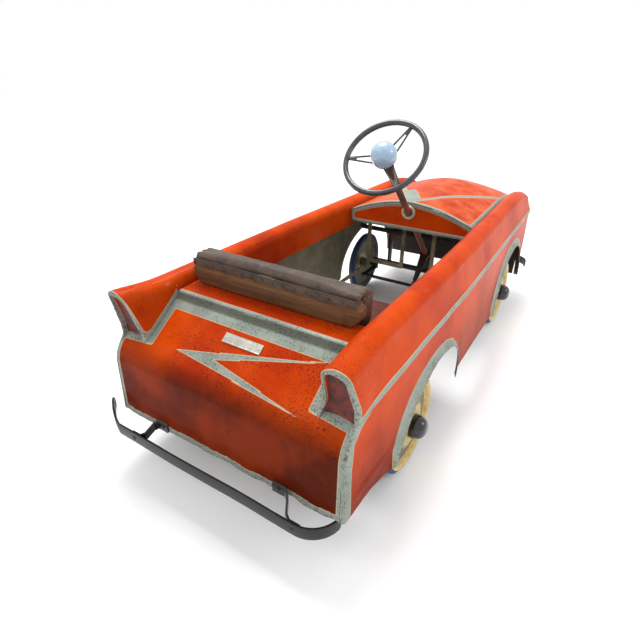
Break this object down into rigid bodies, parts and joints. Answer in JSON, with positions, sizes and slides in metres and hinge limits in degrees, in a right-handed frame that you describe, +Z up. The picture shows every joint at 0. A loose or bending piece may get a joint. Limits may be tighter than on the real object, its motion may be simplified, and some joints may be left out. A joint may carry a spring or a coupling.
{
  "type": "pedal car",
  "caption": "Child's pedal car in pressed sheet steel, with tail fins, steering wheel, plank seat, padded backrest, strap bumpers, and pedals on push rods.",
  "frame": {"origin": "on the ground, under the centre of the bounding box", "axes": "+Z up, +Y towards the tail, +X towards the driver's left; the nose faces -Y"},
  "size_m": [0.4874, 1.19, 0.5236],
  "materials": {
    "orange_paint": "gloss, worn",
    "black_paint": "satin, worn",
    "worn_steel": "dull, worn",
    "dark_frame_paint": "dull, worn",
    "plate_metal": "satin",
    "cream_paint": "satin, dirty",
    "blue_rubber": "matte",
    "wood": "worn stain",
    "leather": "creased, worn",
    "rim_plastic": "gloss",
    "light_blue_plastic": "gloss"
  },
  "bodies": {
    "body": {"body_side_left": "orange_paint", "body_side_right": "orange_paint", "rear_deck": "orange_paint", "hood": "orange_paint", "dashboard": "orange_paint", "front_panel": "orange_paint", "headlamp_left": "plate_metal", "headlamp_right": "plate_metal", "rear_bumper": "black_paint", "front_bumper": "black_paint", "rear_bumper_bracket_left": "black_paint", "rear_bumper_bracket_right": "black_paint", "front_bumper_bracket_left": "black_paint", "front_bumper_bracket_right": "black_paint", "nameplate": "plate_metal", "seat_board": "wood", "seat_cross_member_front": "dark_frame_paint", "seat_cross_member_rear": "dark_frame_paint", "seat_rail_left": "dark_frame_paint", "seat_rail_right": "dark_frame_paint", "backrest_board": "wood", "backrest_pad": "leather", "backrest_strap_left": "worn_steel", "backrest_strap_right": "worn_steel", "rear_hanger_left": "dark_frame_paint", "rear_hanger_right": "dark_frame_paint", "front_axle_beam": "dark_frame_paint", "front_frame": "dark_frame_paint", "column_bearing": "dark_frame_paint", "dash_boss": "plate_metal", "pedal_pivot_rod": "worn_steel"},
    "rear_drive": {"rear_axle": "worn_steel", "crank_arm_left": "worn_steel", "crank_arm_right": "worn_steel", "wheel_disc_rear_right": "cream_paint", "tyre_rear_right": "blue_rubber", "hubcap_rear_right": "black_paint"},
    "rear_left_wheel": {"wheel_disc_rear_left": "cream_paint", "tyre_rear_left": "blue_rubber", "hubcap_rear_left": "black_paint"},
    "steering": {"steering_column": "worn_steel", "column_arm": "worn_steel", "steering_rim": "rim_plastic", "steering_spokes": "worn_steel", "steering_hub_ball": "light_blue_plastic"},
    "knuckle_left": {"steering_knuckle_left": "worn_steel"},
    "knuckle_right": {"steering_knuckle_right": "worn_steel"},
    "front_left_wheel": {"wheel_disc_front_left": "cream_paint", "tyre_front_left": "blue_rubber", "hubcap_front_left": "black_paint"},
    "front_right_wheel": {"wheel_disc_front_right": "cream_paint", "tyre_front_right": "blue_rubber", "hubcap_front_right": "black_paint"},
    "tie_rod": {"tie_rod": "dark_frame_paint"},
    "pedal_left": {"pedal_left": "worn_steel"},
    "pedal_right": {"pedal_right": "worn_steel"},
    "push_rod_left": {"push_rod_left": "worn_steel"},
    "push_rod_right": {"push_rod_right": "worn_steel"}
  },
  "joints": [
    {"name": "rear_axle_spin", "type": "hinge", "parent": "body", "child": "rear_drive", "pos_m": [0, 0.327, 0.088], "axis": [1, 0, 0], "continuous": true},
    {"name": "rear_left_wheel_spin", "type": "hinge", "parent": "body", "child": "rear_left_wheel", "pos_m": [0.2087, 0.327, 0.088], "axis": [1, 0, 0], "continuous": true},
    {"name": "steering_turn", "type": "hinge", "parent": "body", "child": "steering", "pos_m": [0, -0.112, 0.312], "axis": [0, 0.712, 0.7022], "range_deg": [-17.5, 17.5]},
    {"name": "knuckle_left_turn", "type": "hinge", "parent": "body", "child": "knuckle_left", "pos_m": [0.16, -0.285, 0.088], "axis": [0, 0, 1], "range_deg": [-20, 20]},
    {"name": "knuckle_right_turn", "type": "hinge", "parent": "body", "child": "knuckle_right", "pos_m": [-0.16, -0.285, 0.088], "axis": [0, 0, 1], "range_deg": [-20, 20]},
    {"name": "front_left_wheel_spin", "type": "hinge", "parent": "knuckle_left", "child": "front_left_wheel", "pos_m": [0.198, -0.285, 0.088], "axis": [1, 0, 0], "continuous": true},
    {"name": "front_right_wheel_spin", "type": "hinge", "parent": "knuckle_right", "child": "front_right_wheel", "pos_m": [-0.198, -0.285, 0.088], "axis": [1, 0, 0], "continuous": true},
    {"name": "tie_rod_turn", "type": "hinge", "parent": "knuckle_left", "child": "tie_rod", "pos_m": [0.16, -0.205, 0.0844], "axis": [0, 0, 1], "range_deg": [-20, 20]},
    {"name": "pedal_left_swing", "type": "hinge", "parent": "body", "child": "pedal_left", "pos_m": [0.092, -0.2, 0.246], "axis": [1, 0, 0], "range_deg": [-11, 11]},
    {"name": "pedal_right_swing", "type": "hinge", "parent": "body", "child": "pedal_right", "pos_m": [-0.092, -0.2, 0.246], "axis": [1, 0, 0], "range_deg": [-11, 11]},
    {"name": "push_rod_left_turn", "type": "hinge", "parent": "pedal_left", "child": "push_rod_left", "pos_m": [0.15, -0.2, 0.116], "axis": [1, 0, 0], "range_deg": [-11, 11]},
    {"name": "push_rod_right_turn", "type": "hinge", "parent": "pedal_right", "child": "push_rod_right", "pos_m": [-0.15, -0.2, 0.116], "axis": [1, 0, 0], "range_deg": [-11, 11]}
  ],
  "couplings": [
    {"joint": "knuckle_left_turn", "follows": "steering_turn", "ratio": 1.131},
    {"joint": "knuckle_right_turn", "follows": "steering_turn", "ratio": 1.131},
    {"joint": "tie_rod_turn", "follows": "steering_turn", "ratio": -1.131},
    {"joint": "pedal_right_swing", "follows": "pedal_left_swing", "ratio": -1},
    {"joint": "push_rod_left_turn", "follows": "pedal_left_swing", "ratio": -1},
    {"joint": "push_rod_right_turn", "follows": "pedal_left_swing", "ratio": 1}
  ]
}
